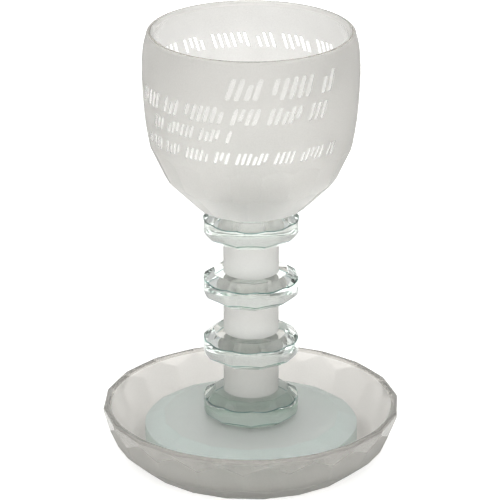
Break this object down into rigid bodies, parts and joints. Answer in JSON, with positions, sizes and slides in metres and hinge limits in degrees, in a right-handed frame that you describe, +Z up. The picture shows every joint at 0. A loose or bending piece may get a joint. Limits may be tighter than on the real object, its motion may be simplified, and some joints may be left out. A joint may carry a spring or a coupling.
{
  "type": "kiddush cup",
  "caption": "Stemmed ceremonial wine cup of cut crystal: frosted bowl, stem of clear faceted discs and frosted spacers, and a broad clear foot resting in a matching faceted saucer.",
  "frame": {"origin": "on the table, under the middle of the saucer", "axes": "+Z up along the cup's axis, -Y towards the side with the rows of cut strokes, +X to the right seen from there"},
  "size_m": [0.103, 0.103, 0.155],
  "materials": {
    "frosted_glass": "satin sandblasted outside, polished inside and at the lip",
    "clear_glass": "clear polished crystal with sharp cut facets"
  },
  "bodies": {
    "root": {"saucer": "frosted_glass", "foot": "clear_glass", "stem_disc_1": "clear_glass", "stem_disc_2": "clear_glass", "stem_disc_3": "clear_glass", "stem_disc_4": "clear_glass", "stem_spacer_1": "frosted_glass", "stem_spacer_2": "frosted_glass", "stem_spacer_3": "frosted_glass", "bowl": "frosted_glass"}
  },
  "joints": []
}
